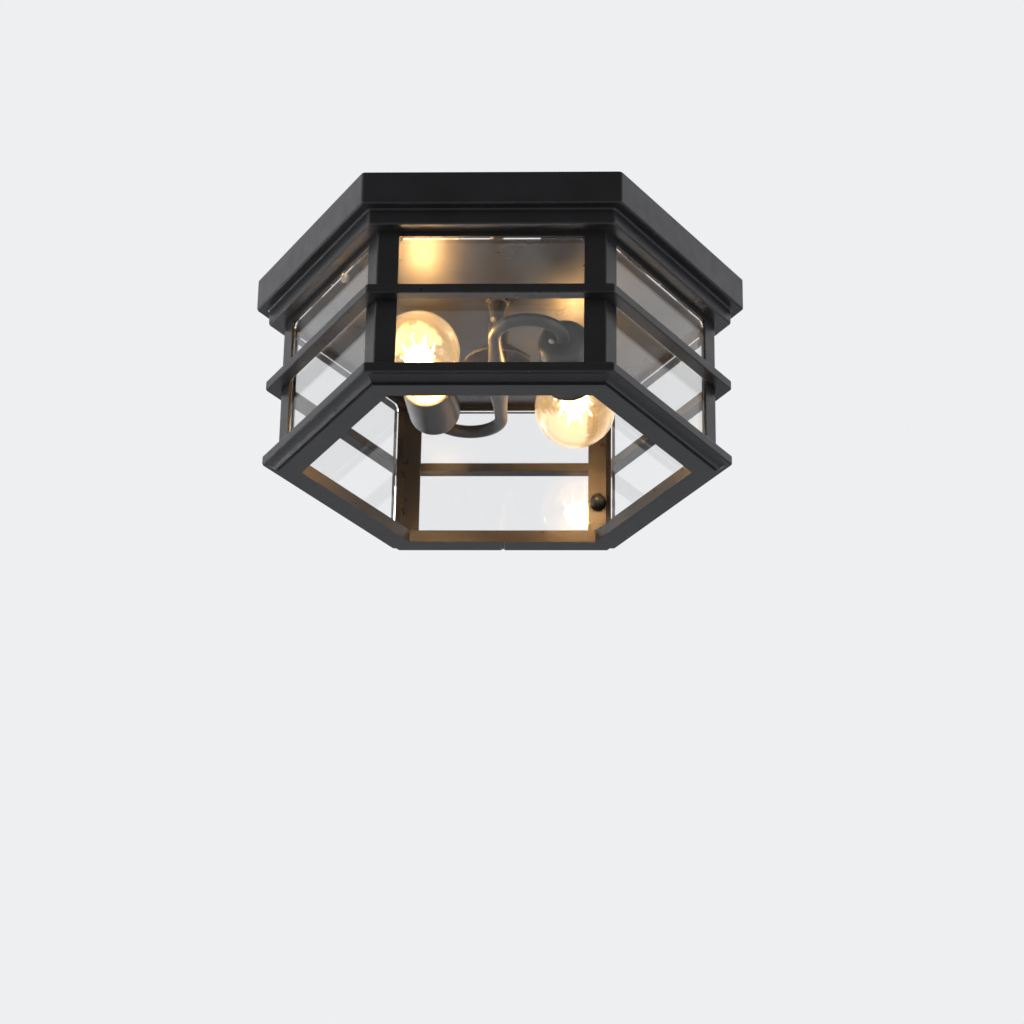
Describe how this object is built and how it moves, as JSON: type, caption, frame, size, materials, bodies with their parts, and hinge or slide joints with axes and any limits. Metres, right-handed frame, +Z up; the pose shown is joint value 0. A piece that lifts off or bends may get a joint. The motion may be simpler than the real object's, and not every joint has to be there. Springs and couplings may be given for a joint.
{
  "type": "ceiling lantern",
  "caption": "Six-sided flush porch ceiling lantern in black metal with clear glass sides, open bottom and two globe bulbs on swan-neck arms.",
  "frame": {"origin": "middle of the crossbar's top face, in the plane where the canopy's rim meets the ceiling", "axes": "+Z up into the ceiling; the flats of the six sides face +Y and -Y; -Y is the side towards the viewer"},
  "size_m": [0.3592, 0.312, 0.1571],
  "materials": {
    "black_coat": "satin black powder coat",
    "zinc_steel": "zinc-plated steel",
    "green_screw": "green lacquered",
    "pane_glass": "clear, polished edges",
    "bulb_glass": "clear, warm tint",
    "mount_glass": "clear",
    "filament_wire": "glowing wire",
    "bumper_clear": "clear soft pad",
    "glazed_body": "glazed",
    "brass": "plain",
    "bulb_cap": "plain"
  },
  "bodies": {
    "crossbar": {"crossbar": "zinc_steel", "ground_screw": "green_screw", "jam_nuts": "zinc_steel", "stud_front": "zinc_steel", "stud_rear": "zinc_steel"},
    "cap_nut_front": {"cap_nut_front": "black_coat"},
    "cap_nut_rear": {"cap_nut_rear": "black_coat"},
    "latch_nut": {"latch_nut": "black_coat"},
    "bulb_a": {"bulb_base_a": "bulb_cap", "globe_a": "bulb_glass", "glass_mount_a": "mount_glass", "filament_a": "filament_wire"},
    "bulb_b": {"bulb_base_b": "bulb_cap", "globe_b": "bulb_glass", "glass_mount_b": "mount_glass", "filament_b": "filament_wire"},
    "lantern": {"arm_a": "black_coat", "arm_b": "black_coat", "bottom_ring": "black_coat", "cage_screws": "zinc_steel", "canopy": "black_coat", "centre_contact_a": "brass", "centre_contact_b": "brass", "corner_post_1": "black_coat", "corner_post_2": "black_coat", "corner_post_3": "black_coat", "corner_post_4": "black_coat", "corner_post_5": "black_coat", "corner_post_6": "black_coat", "cup_a": "black_coat", "cup_b": "black_coat", "cup_screw_a": "zinc_steel", "cup_screw_b": "zinc_steel", "glass_pane_1": "pane_glass", "glass_pane_2": "pane_glass", "glass_pane_3": "pane_glass", "glass_pane_4": "pane_glass", "glass_pane_5": "pane_glass", "glass_pane_6": "pane_glass", "hex_nut": "zinc_steel", "hub": "black_coat", "hub_cap": "black_coat", "hub_dome": "black_coat", "insulator_a": "glazed_body", "insulator_b": "glazed_body", "latch_stud": "zinc_steel", "lock_washer": "zinc_steel", "middle_ring": "black_coat", "pane_bumper": "bumper_clear", "pane_springs": "zinc_steel", "screw_shell_a": "brass", "screw_shell_b": "brass", "stem": "black_coat", "stem_nipple": "zinc_steel", "top_rail": "black_coat"}
  },
  "joints": [
    {"name": "canopy_drop", "type": "slide", "parent": "crossbar", "child": "lantern", "axis": [0, 0, -1], "range_m": [0, 0.06]},
    {"name": "cap_nut_front_turn", "type": "hinge", "parent": "lantern", "child": "cap_nut_front", "pos_m": [0, -0.035, -0.045], "axis": [0, 0, 1], "range_deg": [0, 3600]},
    {"name": "cap_nut_rear_turn", "type": "hinge", "parent": "lantern", "child": "cap_nut_rear", "pos_m": [0, 0.035, -0.045], "axis": [0, 0, 1], "range_deg": [0, 3600]},
    {"name": "latch_nut_turn", "type": "hinge", "parent": "lantern", "child": "latch_nut", "pos_m": [0.07193, 0.131, -0.118], "axis": [0, -1, 0], "range_deg": [0, 2160]},
    {"name": "bulb_a_unscrew", "type": "hinge", "parent": "lantern", "child": "bulb_a", "pos_m": [0.0488, -0.05881, -0.08132], "axis": [0.0663, 0.9977, -0.0165], "range_deg": [0, 1800]},
    {"name": "bulb_b_unscrew", "type": "hinge", "parent": "lantern", "child": "bulb_b", "pos_m": [-0.0488, 0.05881, -0.08132], "axis": [-0.0663, -0.9977, -0.0165], "range_deg": [0, 1800]}
  ]
}
